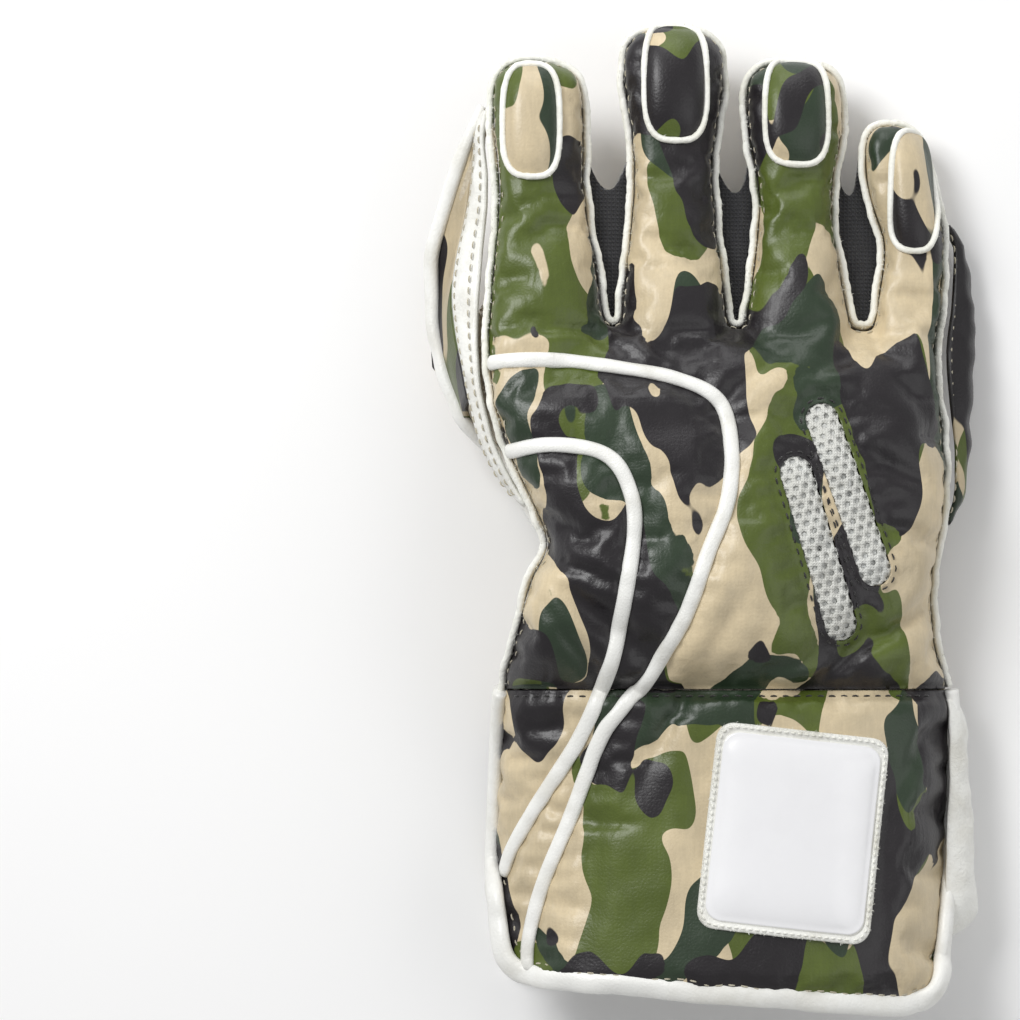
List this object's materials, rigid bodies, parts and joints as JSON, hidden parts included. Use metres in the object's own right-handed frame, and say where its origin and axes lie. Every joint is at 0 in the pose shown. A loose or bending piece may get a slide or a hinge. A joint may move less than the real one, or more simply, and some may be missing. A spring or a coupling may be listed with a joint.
{
  "type": "wicketkeeping glove",
  "caption": "Padded right-hand catching glove with pimpled palm, webbed thumb, finger stalls and a long cuff, lying palm down",
  "frame": {"origin": "on the surface that the glove lies on, under the middle of its box", "axes": "+X from the thumb to the little finger, +Y from the cuff to the fingertips, +Z out of the back of the hand"},
  "size_m": [0.1624, 0.2868, 0.0691],
  "materials": {
    "printed_leather": "printed woodland pattern, slightly glossy, fine grain",
    "white_leather": "smooth white leather, satin",
    "raw_leather": "raw cut edge, fuzzy and matt",
    "pimpled_rubber": "pimpled matt rubber facing",
    "pale_rubber": "pale pimpled matt rubber facing",
    "black_cloth": "black stretch cloth, matt",
    "spacer_mesh": "white spacer mesh with open cells",
    "patch_gloss": "glossy white padded patch with a sewn edge"
  },
  "bodies": {
    "root": {"hand_back": "printed_leather", "palm_facing": "pimpled_rubber", "cuff_back": "printed_leather", "cuff_palm": "printed_leather", "cuff_back_binding": "white_leather", "cuff_palm_binding": "white_leather", "cuff_gusset": "white_leather", "edge_welt": "raw_leather", "piping_upper": "white_leather", "piping_lower": "white_leather", "patch": "patch_gloss", "vent_upper": "spacer_mesh", "vent_lower": "spacer_mesh", "index_side": "white_leather", "little_side": "printed_leather", "thumb_gusset": "white_leather", "thumb_facing": "pale_rubber", "thumb_back": "printed_leather", "web_back": "printed_leather", "web_facing": "pimpled_rubber", "web_binding": "white_leather", "nail_pad_index": "printed_leather", "nail_piping_index": "white_leather", "nail_pad_middle": "printed_leather", "nail_piping_middle": "white_leather", "nail_pad_ring": "printed_leather", "nail_piping_ring": "white_leather", "nail_pad_little": "printed_leather", "nail_piping_little": "white_leather", "gusset_index_middle": "black_cloth", "gusset_middle_ring": "black_cloth", "gusset_ring_little": "black_cloth"}
  },
  "joints": []
}
